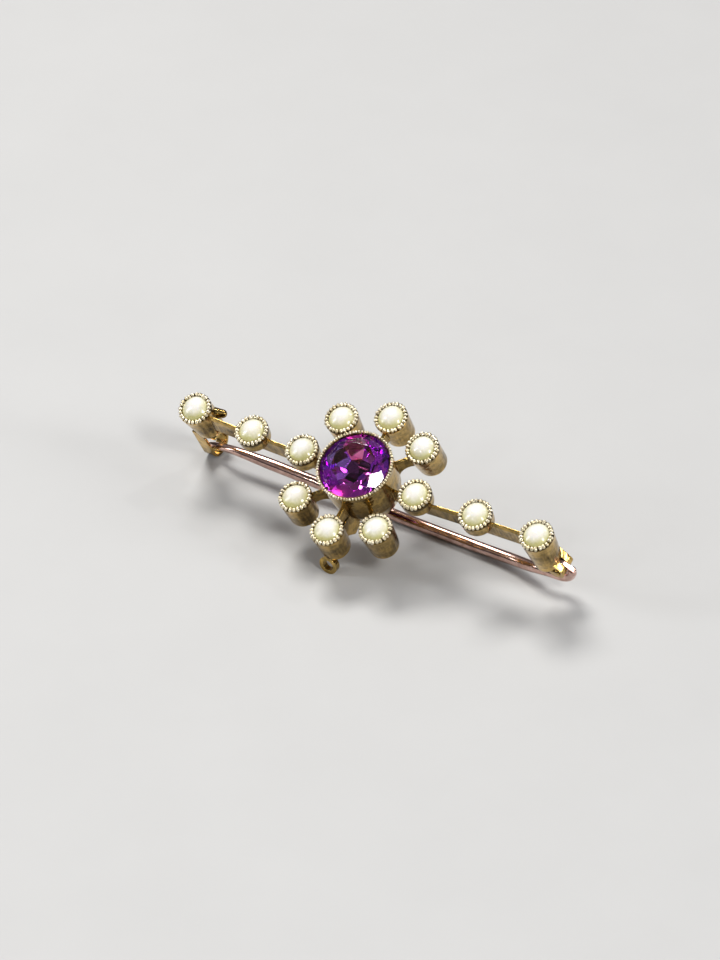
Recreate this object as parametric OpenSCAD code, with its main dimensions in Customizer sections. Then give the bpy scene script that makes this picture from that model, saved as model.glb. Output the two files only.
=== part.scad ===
// Amethyst and half-pearl bar brooch, lying on its pin, catch and front loop.
// Everything is laid out in the face frame: X along the bar, Y up the face of the jewel, Z out of
// its face, with the rims of the pearl collets in the plane Z = 0. The last step leans that frame
// back into the way the brooch lies on a table.

/* [Stance] */
// How far the face leans towards the viewer, in degrees
face_lean = 26; // [20:0.5:32]
// How far the hinge end stands above the catch end, in degrees
bar_slope = 0.7; // [0:0.1:2]
// Height of the face's centre above the table
face_height = 8.44; // [8.2:0.02:8.8]

/* [Pearls] */
// Outer diameter of a pearl collet at its rim
collet_d = 3.32; // [3.2:0.02:3.5]
// How much a collet's radius shrinks for each millimetre below its rim
collet_taper = 0.055; // [0.04:0.005:0.07]
// Height of the six deep collets around the amethyst
deep_collet_h = 3.6; // [3.4:0.1:3.8]
// Height of the four low collets, which sit on the bar
low_collet_h = 1.65; // [1.6:0.05:1.9]
// Height of the end collet over the catch
catch_collet_h = 4.4; // [4.2:0.05:4.6]
// Height of the end collet over the hinge
hinge_collet_h = 5; // [4.8:0.05:5.1]
// Diameter of a half pearl
pearl_d = 2.48; // [2.3:0.02:2.5]
// How far a pearl's dome stands above its collet's rim
pearl_proud = 0.46; // [0.3:0.02:0.6]

/* [Layout] */
// Distance from the amethyst's centre to the eight pearls around it
ring_r = 6.45; // [6.4:0.05:6.8]
// Distance from the centre to the outer pearl on the catch side
outer_left = 18.9; // [18:0.1:19.5]
// Distance from the centre to the inner pearl on the catch side
inner_left = 12.2; // [11.8:0.1:12.8]
// Distance from the centre to the inner pearl on the hinge side
inner_right = 12.9; // [12.2:0.1:13.2]
// Distance from the centre to the outer pearl on the hinge side
outer_right = 19.45; // [19:0.05:19.8]

/* [Amethyst] */
// Diameter of the amethyst
stone_d = 7; // [6.6:0.05:7.1]
// Outer diameter of its collet at the rim
stone_collet_d = 7.5; // [7.4:0.05:7.7]
// Height of its collet's rim above the pearls' rims
stone_rim_z = 1.34; // [1:0.02:1.6]
// Depth of its collet below the pearls' rims
stone_collet_depth = 4.3; // [3.8:0.1:4.6]
// Width of the table, as a share of the stone's diameter
table_share = 0.64; // [0.55:0.01:0.68]

/* [Bar] */
// Thickness of the knife-edge bar
bar_t = 0.36; // [0.3:0.02:0.5]
// Depth of the bar's top edge below the rims
bar_top = 0.6; // [0.5:0.05:0.8]
// Depth of the bar's lower edge below the rims
bar_bottom = 3; // [2.8:0.05:3.2]

/* [Pin] */
// Thickest diameter of the pin, along the middle of its bow
pin_d = 1.16; // [1.1:0.02:1.2]
// Outer diameter of the hinge knuckles
knuckle_d = 1.8; // [1.7:0.05:1.9]
// Diameter of the rivet through the knuckles
rivet_d = 0.7; // [0.6:0.02:0.8]

/* [Catch and loop] */
// Outer diameter of the rolled catch
catch_d = 2.76; // [2.7:0.02:2.8]
// Thickness of the catch's strip
catch_t = 0.27; // [0.25:0.01:0.28]
// Width of the catch's strip, along the bar
catch_w = 1.15; // [1:0.05:1.3]
// Outer diameter of the loop under the lowest pearl
loop_d = 1.9; // [1.8:0.05:2.1]
// Inner diameter of that loop
loop_bore_d = 1.1; // [1:0.05:1.2]
// Length of that loop along its own bore
loop_w = 0.6; // [0.5:0.05:0.8]

/* [Hidden] */
$fn = 64;

gold = [0.85, 0.72, 0.42];
rose_gold = [0.80, 0.56, 0.44];
violet = [0.42, 0.14, 0.62];
cream = [0.93, 0.90, 0.80];

// Smallest gap left between two pieces that only touch
gap = 0.04;
// How far one soldered piece runs into the next
bite = 0.25;
// A length past every part of the jewel, for what is cut right through
reach = 30;

// The table's up direction, seen in the face frame
up = [sin(bar_slope), sin(face_lean) * cos(bar_slope), cos(face_lean) * cos(bar_slope)];
// How far below its axis a round bar along X reaches, per millimetre of radius
bar_reach = sqrt(up[1] * up[1] + up[2] * up[2]);
// The face-frame height at which a point at x, y stands h above the table
function z_at(x, y, h) = (h - face_height - up[0] * x - up[1] * y) / up[2];

// Where the face's centre stands, so that the middle of the jewel's box is over the origin
centre_x = -0.9;
centre_y = -0.74;

// Pearl collet: base edge rounding, the seat that the pearl rests on and the hollow under it
base_round = 0.35;
flare_z = 0.45;
collet_r = collet_d / 2;
pearl_r = pearl_d / 2;
seat_depth = 0.85;
hollow_r = 0.95;
hollow_depth = 2.6;
cup_floor = 0.7;
rim_round = (collet_r - pearl_r - gap) / 2;
// Where a soldered neighbour ends, inside a collet's wall
in_wall_r = hollow_r + bite;
in_stone_wall_r = stone_collet_d / 2 - 0.45;

// The ring's collets from the hinge side round by the top of the face. The jewel is made by hand:
// each is turned a little from its even place, its rim stands a little high or low, and two lean
TURN = 0;
RISE = 1;
HEIGHT = 2;
TILT = 3;
ring_collets = [[-1.5, 0.2, low_collet_h, 0], [-0.3, 0.02, deep_collet_h, 6], [0.6, -0.2, deep_collet_h, 3],
                [-0.3, 0.02, deep_collet_h, 0], [-1.2, 0.12, low_collet_h, 0], [-1, -0.1, deep_collet_h, 0],
                [0.7, -0.12, deep_collet_h, 0], [-0.9, -0.1, deep_collet_h, 0]];
pearls_in_ring = 8;
ring_step = 360 / pearls_in_ring;
function ring_angle(i) = i * ring_step + ring_collets[i][TURN];

// Every collet's rim centre, its height and its lean about X: the ring's eight, then the bar's four
X = 0;
Y = 1;
Z = 2;
DEPTH = 3;
LEAN = 4;
bar_collets = [[-outer_left, 0.28, 0, catch_collet_h, 7], [-inner_left, 0.15, 0.14, low_collet_h, 0],
               [inner_right, 0.15, 0.03, low_collet_h, 0], [outer_right, 0.36, 0, hinge_collet_h, 0]];
seats = concat([for (i = [0 : pearls_in_ring - 1]) [ring_r * cos(ring_angle(i)), ring_r * sin(ring_angle(i)),
    ring_collets[i][RISE], ring_collets[i][HEIGHT], ring_collets[i][TILT]]], bar_collets);
ring_right = 0;
ring_left = 4;
bar_left_outer = 8;
bar_left_inner = 9;
bar_right_inner = 10;
bar_right_outer = 11;

// The bar's strips: the seats that each one joins and how far its top edge lies below bar_top there
FROM = 0;
TO = 1;
DROP_FROM = 2;
DROP_TO = 3;
bar_strips = [[bar_left_outer, bar_left_inner, 0, 0], [bar_left_inner, ring_left, 0, 0],
              [ring_right, bar_right_inner, 0.45, 0.15], [bar_right_inner, bar_right_outer, 0, 0]];

// Amethyst: the crown and pavilion of a round brilliant, from the girdle's heights
stone_r = stone_d / 2;
girdle_top = stone_rim_z - 0.3;
girdle_bottom = girdle_top - 0.14;
crown_h = 0.124 * stone_d;
pavilion_h = 0.42 * stone_d;
stone_turn = -13;
table_r = table_share * stone_r;
star_r = 0.79 * stone_r;
lower_half_r = 0.3 * stone_r;
culet_r = 0.03 * stone_r;

// Hinge: centre of the knuckles in the face frame, and the stack along Y
hinge_x = 20.5;
hinge_y = 0.5;
hinge_z = -5.3;
ear_w = 0.7;
tongue_w = 0.44;
side_play = 0.04;
// Room beyond the tongue's knuckle in its slot, so that it clears the end collet with the pin open
slot_play = 0.25;
knuckle_r = knuckle_d / 2;
rivet_r = rivet_d / 2;
rivet_play = 0.03;
rivet_head_r = rivet_r + 0.2;
rivet_head_h = 0.16;
rivet_head_bevel = 0.1;

// Catch: centre of its roll, which lies on the table
catch_r = catch_d / 2;
catch_right = -19.05;
catch_y = 0.9;
catch_z = z_at(catch_right - catch_w, catch_y, catch_r * bar_reach);
catch_mouth_from = 108;
catch_mouth_to = 148;

// Loop: its bore is level, and it lies on the table
loop_x = -0.1;
loop_y = -8;
loop_z = z_at(loop_x, loop_y, loop_d / 2);

// Pin: its centre line from the tongue round the elbow and along the bow to the point, as x, y,
// height above the table and radius. It touches the table where its height is its radius
pin_r = pin_d / 2;
PIN_X = 0;
PIN_Y = 1;
PIN_H = 2;
PIN_R = 3;
pin_stations = [
    [21.75, 0.5, 3.91, 0.37], [21.65, 0.5, 3.39, 0.4], [21.4, 0.5, 2.9, 0.44], [21.06, 0.49, 2.4, 0.48],
    [20.55, 0.47, 2.02, 0.52], [19.9, 0.42, 1.9, 0.53], [18.9, 0.34, 1.98, 0.53], [17.7, 0.3, 1.86, 0.55],
    [16.4, 0.39, 1.45, 0.57], [15, 0.55, 1.1, pin_r], [13, 0.65, 0.83, pin_r], [10.4, 0.67, 0.66, pin_r],
    [7, 0.68, pin_r, pin_r], [3.4, 0.64, 0.67, pin_r], [-0.4, 0.57, 0.95, pin_r], [-4.4, 0.5, 1.36, pin_r],
    [-8.4, 0.42, 1.8, pin_r], [-12, 0.36, 2.04, pin_r], [-14.5, 0.34, 2.1, 0.52], [-16.6, 0.34, 2.04, 0.44],
    [-18.1, 0.38, 1.74, 0.4], [-19.4, 0.44, 1.32, 0.33], [-20.6, 0.52, 1, 0.06]];
steps_per_station = 2;
pin_sides = 16;
tongue_reach_r = 0.22;

// Puts a collet or a pearl at its seat
module at_seat(i) {
    translate([seats[i][X], seats[i][Y], seats[i][Z]]) rotate([seats[i][LEAN], 0, 0]) children();
}

// The outside of a collet, which tapers to a rounded base and has a rounded rim
module collet_outside(h) {
    base_r = collet_r - collet_taper * h;
    rotate_extrude() {
        polygon([[0, -h], [base_r - base_round, -h], [base_r, -h + base_round],
                 [collet_r - collet_taper * flare_z, -flare_z], [collet_r, -rim_round],
                 [collet_r - rim_round, 0], [0, 0]]);
        translate([base_r - base_round, -h + base_round]) circle(r = base_round);
        translate([collet_r - rim_round, -rim_round]) circle(r = rim_round);
    }
}

// What is cut from a collet: the pearl's seat and the hollow under it
module collet_inside(h) {
    translate([0, 0, -seat_depth]) cylinder(r = pearl_r + gap, h = seat_depth + 1);
    translate([0, 0, -min(h - cup_floor, hollow_depth)]) cylinder(r = hollow_r, h = h);
}

// A knife-edged strip on edge between two points, with its top edge a and b below the rims at its ends
module strip(p, q, top_p, top_q) {
    // The top edge is thinned to edge_t over its upper edge_h
    edge_t = 0.14;
    edge_h = 0.35;
    run = norm(q - p) + bite;
    translate([p[X], p[Y], -top_p]) rotate([0, atan2(top_q - top_p, run), atan2(q[Y] - p[Y], q[X] - p[X])])
        rotate([90, 0, 90]) linear_extrude(run) polygon([[-bar_t / 2, -bar_bottom], [bar_t / 2, -bar_bottom],
            [bar_t / 2, -edge_h], [edge_t / 2, 0], [-edge_t / 2, 0], [-bar_t / 2, -edge_h]]);
}

// The bar: its strips, trimmed level below and cut away inside the collets
function spot(i) = [seats[i][X], seats[i][Y]];
module bar() {
    arm_drop = 0.15;
    trim_h = 3;
    difference() {
        union() {
            for (s = bar_strips)
                strip(spot(s[FROM]), spot(s[TO]), bar_top + s[DROP_FROM], bar_top + s[DROP_TO]);
            for (i = [ring_right, ring_left])
                strip(spot(i), [0, 0], bar_top + arm_drop, bar_top + arm_drop);
        }
        translate([-reach, -bar_t, -bar_bottom - trim_h]) cube([2 * reach, 4 * bar_t, trim_h]);
        cylinder(r = in_stone_wall_r, h = reach, center = true);
        for (i = [0 : len(seats) - 1])
            at_seat(i) translate([0, 0, -seats[i][DEPTH] + base_round]) cylinder(r = in_wall_r, h = reach);
    }
}

// An arm from the amethyst's collet out to one of the deep collets around it, arched underneath
module arm() {
    arm_in = in_stone_wall_r;
    arm_out = ring_r - hollow_r - 0.1;
    arm_top = 0.75;
    arm_bottom = 2.9;
    arch_r = 1.15;
    arch_x = (arm_in + arm_out) / 2 + 0.15;
    translate([0, bar_t / 2, 0]) rotate([90, 0, 0]) linear_extrude(bar_t) difference() {
        translate([arm_in, -arm_bottom]) square([arm_out - arm_in, arm_bottom - arm_top]);
        translate([arch_x, -arm_bottom - 0.25]) circle(r = arch_r);
    }
}

// The amethyst's tall collet, open at the back: its outside narrows to a rounded base, and a lip
// over the girdle and a shelf under it hold the stone
module stone_collet() {
    rim_r = stone_collet_d / 2;
    lip_round = 0.16;
    lip_r = stone_r - 0.08;
    lip_z = girdle_top + 0.19;
    pocket_r = stone_r + 0.05;
    shelf_r = stone_r - 0.4;
    shelf_z = girdle_bottom - 0.48;
    base_z = -stone_collet_depth;
    base_r = 3.05;
    base_edge = 0.3;
    waist = [3.42, -2.9];
    shoulder = [3.56, -1.6];
    back_r = 2.45;
    funnel = [3, -3];
    difference() {
        rotate_extrude() {
            polygon([[0, base_z], [base_r - base_edge, base_z], [base_r, base_z + base_edge],
                     waist, shoulder, [rim_r - 0.07, stone_rim_z - 0.5], [rim_r, stone_rim_z - lip_round],
                     [rim_r - lip_round, stone_rim_z], [0, stone_rim_z]]);
            translate([base_r - base_edge, base_z + base_edge]) circle(r = base_edge);
            translate([rim_r - lip_round, stone_rim_z - lip_round]) circle(r = lip_round);
        }
        rotate_extrude() polygon([[0, base_z - 1], [back_r, base_z - 1], [back_r, base_z], funnel,
            [shelf_r, funnel[Y] + 1], [shelf_r, shelf_z], [pocket_r, girdle_bottom - 0.08],
            [pocket_r, girdle_top + 0.06], [lip_r, lip_z], [lip_r, stone_rim_z + 1], [0, stone_rim_z + 1]]);
    }
}

// One ear of the hinge: a round knuckle that tapers up into the end collet's side
module ear(y0) {
    root = [19.95, -3.7];
    root_r = 0.5;
    translate([0, y0 + ear_w, 0]) rotate([90, 0, 0]) linear_extrude(ear_w) hull() {
        translate([hinge_x, hinge_z]) circle(r = knuckle_r);
        translate(root) circle(r = root_r);
    }
}

module hinge_ears() {
    inner = tongue_w / 2 + side_play;
    ear(hinge_y - inner - ear_w);
    ear(hinge_y + inner);
}

// What is cut for the hinge: the slot that the tongue turns in and the rivet's bore
module hinge_cuts() {
    translate([hinge_x, hinge_y, hinge_z]) rotate([90, 0, 0]) {
        cylinder(r = knuckle_r + slot_play, h = tongue_w + 2 * side_play, center = true);
        cylinder(r = rivet_r + rivet_play, h = 4 * ear_w, center = true);
    }
}

// The catch: a strip that hangs from the end collet and is rolled round the pin's point
module catch() {
    shank_top = -catch_collet_h + base_round;
    shank_y = catch_y - catch_r;
    past_roll = 2 * catch_r;
    translate([catch_right - catch_w, 0, 0]) rotate([90, 0, 90]) linear_extrude(catch_w) {
        difference() {
            translate([catch_y, catch_z]) circle(r = catch_r);
            translate([catch_y, catch_z]) circle(r = catch_r - catch_t);
            translate([catch_y, catch_z]) polygon([[0, 0],
                past_roll * [cos(catch_mouth_from), sin(catch_mouth_from)],
                past_roll * [cos(catch_mouth_to), sin(catch_mouth_to)]]);
        }
        translate([shank_y, catch_z]) square([catch_t, shank_top - catch_z]);
    }
}

// A short round-ended stub on the back of the end collet
module stub() {
    stub_from = [-outer_left + 0.2, 0.75, -1.3];
    stub_to = [-outer_left + 1.75, 1.6, -2.15];
    stub_root_r = 0.8;
    stub_r = 0.43;
    v = stub_to - stub_from;
    translate(stub_from) rotate([0, 90 + atan2(-v[Z], norm([v[X], v[Y]])), atan2(v[Y], v[X])]) {
        cylinder(r1 = stub_root_r, r2 = stub_r, h = norm(v));
        translate([0, 0, norm(v)]) sphere(r = stub_r);
    }
}

// The loop in front, with its bore level, and the bracket that carries it under the lowest collet
module front_loop() {
    bracket_w = 0.8;
    translate([loop_x, loop_y, loop_z]) rotate([90 - face_lean, 0, 0]) difference() {
        cylinder(r = loop_d / 2, h = loop_w, center = true);
        cylinder(r = loop_bore_d / 2, h = 2 * loop_w, center = true);
    }
    translate([-bracket_w / 2, 0, 0]) rotate([90, 0, 90]) linear_extrude(bracket_w) polygon([
        [loop_y + 0.45, loop_z + 0.75], [loop_y + 0.75, -deep_collet_h + 0.5],
        [-ring_r, -deep_collet_h + 0.4], [-ring_r, -deep_collet_h - 0.2], [loop_y + 1.05, loop_z + 0.5]]);
}

// A web under the front of the amethyst's collet that stiffens the arm with the loop
module front_web() {
    web_t = 0.5;
    translate([-web_t / 2, 0, 0]) rotate([90, 0, 90]) linear_extrude(web_t) polygon([
        [-2.95, -3.2], [-2.75, -5.1], [-3.9, -5.3], [-5.3, -3.5], [-5.3, -2.4], [-3.3, -2.4]]);
}

module frame_body() {
    difference() {
        union() {
            stone_collet();
            front_web();
            hinge_ears();
            catch();
            stub();
            front_loop();
            bar();
            for (i = [0 : pearls_in_ring - 1]) if (seats[i][DEPTH] == deep_collet_h)
                rotate([0, 0, ring_angle(i)]) difference() {
                    arm();
                    cylinder(r = stone_r - 0.4, h = reach, center = true);
                }
            for (i = [0 : len(seats) - 1]) at_seat(i) collet_outside(seats[i][DEPTH]);
        }
        for (i = [0 : len(seats) - 1]) at_seat(i) collet_inside(seats[i][DEPTH]);
        hinge_cuts();
    }
}

// A half pearl: a low dome on a short drum
module half_pearl() {
    drum_top = -0.1;
    dome_h = pearl_proud - drum_top;
    dome_r = (pearl_r * pearl_r + dome_h * dome_h) / (2 * dome_h);
    rotate_extrude() intersection() {
        translate([0, pearl_proud - dome_r]) circle(r = dome_r);
        translate([0, -seat_depth + gap]) square([pearl_r, seat_depth + pearl_proud]);
    }
}

// Corners of the cut stone, each ring turned so that its kite facets come out flat
function ring_points(n, r, z, turn) = [for (i = [0 : n - 1])
    let (a = turn + i * 360 / n) [r * cos(a), r * sin(a), z]];
function on_line(r, r0, z0, r1, z1) = z0 + (z1 - z0) * (r - r0) / (r1 - r0);

module cut_stone() {
    half = 180 / 8;
    star_z = on_line(star_r * cos(half), table_r, girdle_top + crown_h, stone_r, girdle_top);
    lower_z = on_line(lower_half_r * cos(half), culet_r, girdle_bottom - pavilion_h, stone_r, girdle_bottom);
    hull() polyhedron(
        points = concat(ring_points(8, table_r, girdle_top + crown_h, 0),
            ring_points(8, star_r, star_z, half), ring_points(16, stone_r, girdle_top, 0),
            ring_points(16, stone_r, girdle_bottom, 0), ring_points(8, lower_half_r, lower_z, half),
            ring_points(8, culet_r, girdle_bottom - pavilion_h, 0)),
        faces = [for (i = [0 : 61]) [i, i + 1, i + 2]]);
}

// The rivet through the knuckles, with a low head at each end
module rivet_body() {
    stack = 2 * (ear_w + side_play) + tongue_w;
    head_at = stack / 2 + 0.02;
    translate([hinge_x, hinge_y, hinge_z]) rotate([90, 0, 0]) {
        cylinder(r = rivet_r, h = 2 * head_at, center = true);
        for (side = [0, 180]) rotate([side, 0, 0]) translate([0, 0, head_at])
            cylinder(r1 = rivet_head_r, r2 = rivet_head_r - rivet_head_bevel, h = rivet_head_h);
    }
}

// A smooth line through the pin's stations
function between(a, b, c, d, t) = 0.5 * (2 * b + (c - a) * t + (2 * a - 5 * b + 4 * c - d) * t * t
    + (3 * b - a - 3 * c + d) * t * t * t);
last_station = len(pin_stations) - 1;
function station(i) = pin_stations[max(0, min(i, last_station))];
pin_line = concat([for (i = [0 : last_station - 1], k = [0 : steps_per_station - 1])
    between(station(i - 1), station(i), station(i + 1), station(i + 2), k / steps_per_station)],
    [station(last_station)]);
pin_path = [for (p = pin_line) [p[PIN_X], p[PIN_Y], z_at(p[PIN_X], p[PIN_Y], p[PIN_H])]];
pin_radii = [for (p = pin_line) p[PIN_R]];

function unit(v) = v / norm(v);
function heading(path, i) = unit(path[min(i + 1, len(path) - 1)] - path[max(i - 1, 0)]);

// A round tube of changing radius swept along a path, closed at both ends
module swept(path, radii, sides) {
    n = len(path);
    side = 360 / sides;
    points = [for (i = [0 : n - 1])
        let (h = heading(path, i), a = unit(cross(h, [0, 1, 0])), b = cross(a, h))
            for (j = [0 : sides - 1]) path[i] + radii[i] * (cos(j * side) * a + sin(j * side) * b)];
    walls = [for (i = [0 : n - 2], j = [0 : sides - 1]) let (k = (j + 1) % sides)
        [i * sides + j, i * sides + k, (i + 1) * sides + k, (i + 1) * sides + j]];
    polyhedron(points = points, faces = concat([[for (j = [sides - 1 : -1 : 0]) j]], walls,
        [[for (j = [0 : sides - 1]) (n - 1) * sides + j]]));
}

// The pin: a flat tongue between the ears, an elbow and a bowed, pointed stem
module pin_body() {
    difference() {
        union() {
            translate([0, hinge_y + tongue_w / 2, 0]) rotate([90, 0, 0]) linear_extrude(tongue_w) hull() {
                translate([hinge_x, hinge_z]) circle(r = knuckle_r, $fn = 32);
                for (i = [0, 2])
                    translate([pin_path[i][X], pin_path[i][Z]]) circle(r = tongue_reach_r, $fn = 32);
            }
            swept(pin_path, pin_radii, pin_sides);
        }
        translate([hinge_x, hinge_y, hinge_z]) rotate([90, 0, 0])
            cylinder(r = rivet_r + rivet_play, h = 4 * ear_w, center = true);
    }
}

module lying() {
    translate([centre_x, centre_y, face_height]) rotate([face_lean, -bar_slope, 0]) children();
}

module frame() color(gold) lying() frame_body();
module amethyst() color(violet) lying() rotate([0, 0, stone_turn]) cut_stone();
module pearl(i) color(cream) lying() at_seat(i) half_pearl();
module hinge_rivet() color(gold) lying() rivet_body();
module pin() color(rose_gold) lying() pin_body();

frame();
amethyst();
for (i = [0 : pearls_in_ring - 1]) pearl(i);
pearl(bar_left_outer);  // pearl_left_outer
pearl(bar_left_inner);  // pearl_left_inner
pearl(bar_right_inner);  // pearl_right_inner
pearl(bar_right_outer);  // pearl_right_outer
hinge_rivet();
pin();
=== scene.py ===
"""Looks of the amethyst and half-pearl bar brooch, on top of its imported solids.

Lengths in the settings, the materials and the studio are in metres. Pieces are modelled in millimetres in
the face frame, where X runs along the bar, Y up the face and Z out of it, and are then laid down as the jewel
lies on the table."""

import math
import random

import bmesh
import bpy
from bpy.props import FloatProperty, FloatVectorProperty, IntProperty, PointerProperty
from mathutils import Matrix, Vector


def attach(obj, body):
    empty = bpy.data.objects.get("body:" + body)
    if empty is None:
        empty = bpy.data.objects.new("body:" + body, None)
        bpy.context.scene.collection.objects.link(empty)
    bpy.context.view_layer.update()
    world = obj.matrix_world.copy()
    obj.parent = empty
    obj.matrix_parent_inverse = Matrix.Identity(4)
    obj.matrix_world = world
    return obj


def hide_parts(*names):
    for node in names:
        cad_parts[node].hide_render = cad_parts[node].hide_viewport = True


bl_info = {
    "name": "Amethyst bar brooch",
    "version": (1, 0, 0),
    "blender": (4, 5, 0),
    "location": "View3D > Sidebar > Brooch",
    "description": "Dresses a bar brooch: beaded rims, half pearls, an amethyst, a bowed pin and worn gold",
    "category": "Add Mesh",
}

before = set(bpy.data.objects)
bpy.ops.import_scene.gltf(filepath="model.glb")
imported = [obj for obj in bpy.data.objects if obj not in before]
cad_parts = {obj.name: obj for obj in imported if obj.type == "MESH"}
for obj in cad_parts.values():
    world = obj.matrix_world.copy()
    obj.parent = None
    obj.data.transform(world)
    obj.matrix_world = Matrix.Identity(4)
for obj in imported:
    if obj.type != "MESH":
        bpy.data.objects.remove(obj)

MM = 0.001
JEWEL = "jewel"
PIN = "pin"


def around(radius, degrees):
    """The x and y of a point at a radius and an azimuth in degrees."""
    angle = math.radians(degrees)
    return radius * math.cos(angle), radius * math.sin(angle)


# The face frame's place on the table, as in the solids
FACE_LEAN = math.radians(26)
BAR_SLOPE = math.radians(0.7)
FACE_CENTRE = Vector((-0.9, -0.74, 8.44))
TO_TABLE = (
    Matrix.Scale(MM, 4)
    @ Matrix.Translation(FACE_CENTRE)
    @ Matrix.Rotation(-BAR_SLOPE, 4, "Y")
    @ Matrix.Rotation(FACE_LEAN, 4, "X")
)
TO_FACE = TO_TABLE.inverted()
TABLE_UP = (TO_TABLE.to_3x3().inverted() @ Vector((0, 0, 1))).normalized()

# Each collet's rim centre in the face frame and its lean about X, in degrees
RING_RADIUS = 6.45
RING_STEP = 45
RING_TURN = (-1.5, -0.3, 0.6, -0.3, -1.2, -1, 0.7, -0.9)
RING_RISE = (0.2, 0.02, -0.2, 0.02, 0.12, -0.1, -0.12, -0.1)
RING_LEAN = (0, 6, 3, 0, 0, 0, 0, 0)
SEATS = {
    f"pearl_ring_{i + 1}": (*around(RING_RADIUS, RING_STEP * i + turn), rise, lean)
    for i, (turn, rise, lean) in enumerate(zip(RING_TURN, RING_RISE, RING_LEAN))
}
SEATS["pearl_left_outer"] = (-18.9, 0.28, 0, 7)
SEATS["pearl_left_inner"] = (-12.2, 0.15, 0.14, 0)
SEATS["pearl_right_inner"] = (12.9, 0.15, 0.03, 0)
SEATS["pearl_right_outer"] = (19.45, 0.36, 0, 0)

# Where the beads' centres lie on a pearl's rim and on the rim of the amethyst's collet
PEARL_BEADS_R = 1.45
PEARL_BEADS_Z = -0.02
STONE_BEADS_R = 3.64
STONE_BEADS_Z = 1.35

# How unevenly the beads are struck: their shift along the rim as a share of their spacing, their spread
# across it, their size, and their width across the rim, length along it and height
BEAD_SHIFT = 0.12
BEAD_SPREAD = 0.015
BEAD_SIZES = (0.88, 1.05)
BEAD_WIDTHS = (1.1, 1.22)
BEAD_LENGTHS = (0.86, 0.98)
BEAD_HEIGHTS = (0.9, 1.0)

# A half pearl's foot with its chamfer, the top of its straight side and the middle of the painted highlight
# on its crown, seen from its rim's centre, and the sides and steps of its skin
PEARL_FOOT = -0.8
PEARL_CHAMFER = 0.1
DRUM_TOP = -0.02
PEARL_LIT_CROWN = Vector((-0.08, 0.22, 0.3))
PEARL_SIDES = 48
DOME_STEPS = 14

# How much the pearls differ in width, height and warmth, and how much a warm one loses of red, green and blue
PEARL_WIDTHS = (0.975, 1.0)
PEARL_HEIGHTS = (0.93, 1.0)
PEARL_WARMTHS = (0.0, 0.5)
WARMING = (0.03, 0.08, 0.2)

# The amethyst: its girdle, its crown and back as shares of its width, the share of its radius that the back's
# main facets fall over, its turn in degrees, and the width of its softened edges
GIRDLE_TOP = 1.04
GIRDLE_BOTTOM = 0.9
CROWN_SHARE = 0.124
BACK_SHARE = 0.42
BACK_FALL = 0.97
STONE_TURN = -13
STONE_EDGE = 0.012
BLANK_SIDES = 96

# Degrees between its eight main facets, and the half and the quarter of that
MAIN_STEP = 45
HALF_STEP = MAIN_STEP / 2
QUARTER_STEP = MAIN_STEP / 4

# Tilts of its other facets from the main ones, in degrees, and their heights from the girdle's nearer edge
STAR_TILT = -13
UPPER_HALF_TILT = 6.5
UPPER_HALF_Z = 0.06
LOWER_HALF_TILT = 2.2
LOWER_HALF_Z = -0.05
EDGE_TIER_TILT = 10
EDGE_TIER_Z = 0.05

# The four facets at the heart of its back: their own tilt and turn, how far above the point they are ground,
# and the z of a normal below which a face is one of them
HEART_TILT = 27
HEART_TURN = -20
HEART_CUT = 0.36
HEART_NORMAL_Z = -0.84

# Tints of the back facets, sector by sector round the stone from the hinge side, of its clear front facets
# and of its dark heart
# The back tints are partly the stone's own violet and partly painted colour flashes
BACK_FLASH_TINTS = (
    (0.90, 0.50, 1.00), (0.95, 0.65, 1.00), (0.60, 0.32, 0.95), (0.90, 0.40, 0.85),
    (1.00, 0.80, 0.65), (1.00, 0.90, 0.45), (0.50, 0.32, 0.95), (0.35, 0.32, 1.00),
    (0.28, 0.45, 1.00), (0.55, 0.32, 1.00), (0.95, 0.32, 0.90), (1.00, 0.40, 0.92),
    (1.00, 0.40, 0.92), (1.00, 0.40, 0.92), (0.90, 0.38, 0.92), (0.72, 0.38, 0.95),
)
CLEAR_TINT = (0.97, 0.94, 1.0)
# The heart's near-black tint is painted shade
HEART_SHADE_TINT = (0.003, 0.001, 0.003)

# How bright a back facet's tint is and what share of a mirror it has. In the soft sectors it is a full
# mirror, and a mirror past SOFT_FROM is blurred by SOFT_BLUR. A face is clear if its normal's z is past
# FRONT_FROM
# The soft sectors carry their painted flash at full brightness
BACK_GLOWS = (0.7, 1.0)
BACK_MIRRORS = (0.5, 0.9)
SOFT_SECTORS = (11, 12, 13)
SOFT_FROM = 0.95
SOFT_BLUR = 0.3
FRONT_FROM = -0.1

# The hinge's centre and the flat tongue that turns there: its bored knuckle, its width and chamfer, and the
# plate's round ends on the pin, its inset from the knuckle's skin and its angles round the knuckle
HINGE = Vector((20.5, 0.5, -5.3))
KNUCKLE_R = 0.9
BORE_R = 0.38
TONGUE_W = 0.44
TONGUE_EDGE = 0.05
KNUCKLE_SIDES = 64
PLATE_END_R = 0.22
PLATE_INSET = 0.01
PLATE_ANGLES = range(-84, 61, 6)

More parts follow.
